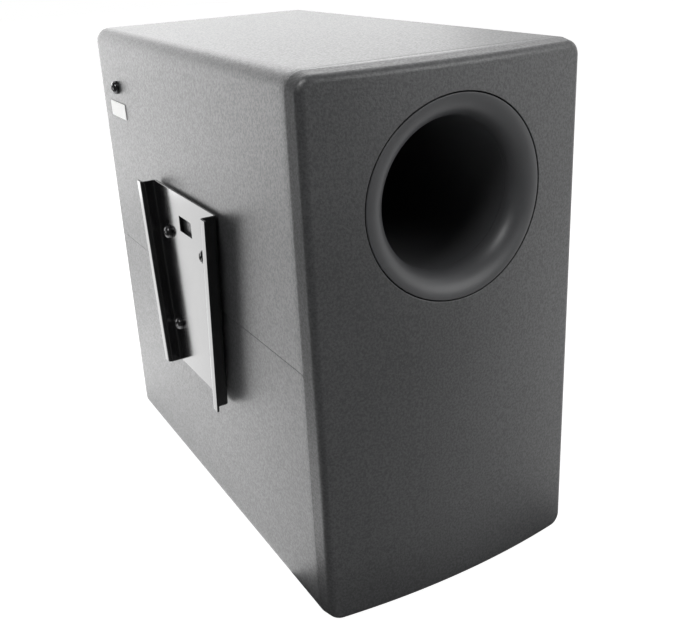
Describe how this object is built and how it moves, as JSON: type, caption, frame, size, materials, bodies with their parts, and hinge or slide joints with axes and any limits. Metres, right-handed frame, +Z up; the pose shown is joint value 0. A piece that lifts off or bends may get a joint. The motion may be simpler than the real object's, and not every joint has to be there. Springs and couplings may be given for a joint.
{
  "type": "ported bass cabinet",
  "caption": "Compact ported bass speaker cabinet with a bowed front, a flush flared port, a side hanging bracket and a rear amplifier panel.",
  "frame": {"origin": "middle of the footprint, on the surface that the feet stand on", "axes": "+Z up, -Y the bowed front with the port, +Y the back with the amplifier, -X the side with the hanging bracket"},
  "size_m": [0.241, 0.4154, 0.405],
  "materials": {
    "cabinet_paint": "fibreboard under fine-textured charcoal paint",
    "bare_board": "bare fibreboard",
    "rubber": "matt black rubber",
    "port_plastic": "moulded charcoal plastic, fine satin",
    "moulded_black": "moulded black plastic",
    "black_steel": "semi-gloss black coat",
    "cone_paper": "pressed black pulp",
    "former_film": "amber film",
    "copper": "enamelled copper winding",
    "spider_cloth": "resin-dipped cloth",
    "zinc_steel": "zinc plated",
    "bright_steel": "bright nickel plated",
    "dark_steel": "black oxide",
    "ferrite": "ground ferrite",
    "gold_plate": "gold plated",
    "red_wire": "red insulation",
    "black_wire": "black insulation",
    "black_aluminium": "black anodised",
    "green_board": "solder-masked laminate",
    "blue_sleeve": "shrink sleeve",
    "clear_lens": "tinted lens",
    "amber_plastic": "tinted moulding",
    "white_label": "plain white, bare"
  },
  "bodies": {
    "cabinet": {"upper_shell": "cabinet_paint", "lower_shell": "cabinet_paint", "front_baffle": "cabinet_paint", "rear_panel": "cabinet_paint", "divider_board": "bare_board", "divider_cleat_left": "bare_board", "divider_cleat_right": "bare_board", "rear_cleat_top": "bare_board", "rear_cleat_bottom": "bare_board", "foot_front_left": "rubber", "foot_front_right": "rubber", "foot_rear_left": "rubber", "foot_rear_right": "rubber", "port_flare": "port_plastic", "port_tube": "port_plastic", "port_inner_flare": "port_plastic", "driver_gasket": "rubber", "driver_basket": "black_steel", "surround": "rubber", "spider": "spider_cloth", "top_plate": "zinc_steel", "magnet_ring": "ferrite", "pole_piece": "zinc_steel", "driver_terminal": "gold_plate", "speaker_lead_positive": "red_wire", "speaker_lead_negative": "black_wire", "amp_gasket": "rubber", "amp_panel": "black_aluminium", "heat_sink": "black_aluminium", "circuit_board": "green_board", "capacitor_left": "blue_sleeve", "capacitor_right": "blue_sleeve", "toroid_choke": "copper", "gain_potentiometer": "zinc_steel", "crossover_potentiometer": "zinc_steel", "boost_potentiometer": "zinc_steel", "phase_switch_body": "moulded_black", "power_lamp": "clear_lens", "input_jack_left": "gold_plate", "input_jack_right": "gold_plate", "terminal_block": "moulded_black", "fuse_socket": "moulded_black", "fuse": "amber_plastic", "mount_bracket": "black_steel", "bracket_screw_1": "bright_steel", "bracket_screw_2": "bright_steel", "bracket_screw_3": "bright_steel", "bracket_screw_4": "bright_steel", "anchor_screw": "dark_steel", "blank_label": "white_label"},
    "moving_cone": {"cone": "cone_paper", "dust_cap": "cone_paper", "coil_former": "former_film", "voice_coil": "copper"},
    "gain_dial": {"gain_knob": "moulded_black"},
    "crossover_dial": {"crossover_knob": "moulded_black"},
    "boost_dial": {"boost_knob": "moulded_black"},
    "phase_lever": {"phase_switch_lever": "moulded_black"}
  },
  "joints": [
    {"name": "cone_stroke", "type": "slide", "parent": "cabinet", "child": "moving_cone", "axis": [0, 0, 1], "range_m": [-0.008, 0.008], "stiffness_N_per_m": 3000, "deforming": ["surround", "spider"]},
    {"name": "gain_turn", "type": "hinge", "parent": "cabinet", "child": "gain_dial", "pos_m": [0.071, 0.18575, 0.15275], "axis": [0, 1, 0], "range_deg": [-150, 150]},
    {"name": "crossover_turn", "type": "hinge", "parent": "cabinet", "child": "crossover_dial", "pos_m": [0.0475, 0.18575, 0.15275], "axis": [0, 1, 0], "range_deg": [-150, 150]},
    {"name": "boost_turn", "type": "hinge", "parent": "cabinet", "child": "boost_dial", "pos_m": [0.024, 0.18575, 0.15275], "axis": [0, 1, 0], "range_deg": [-150, 150]},
    {"name": "phase_throw", "type": "slide", "parent": "cabinet", "child": "phase_lever", "axis": [-1, 0, 0], "range_m": [0, 0.004]}
  ]
}
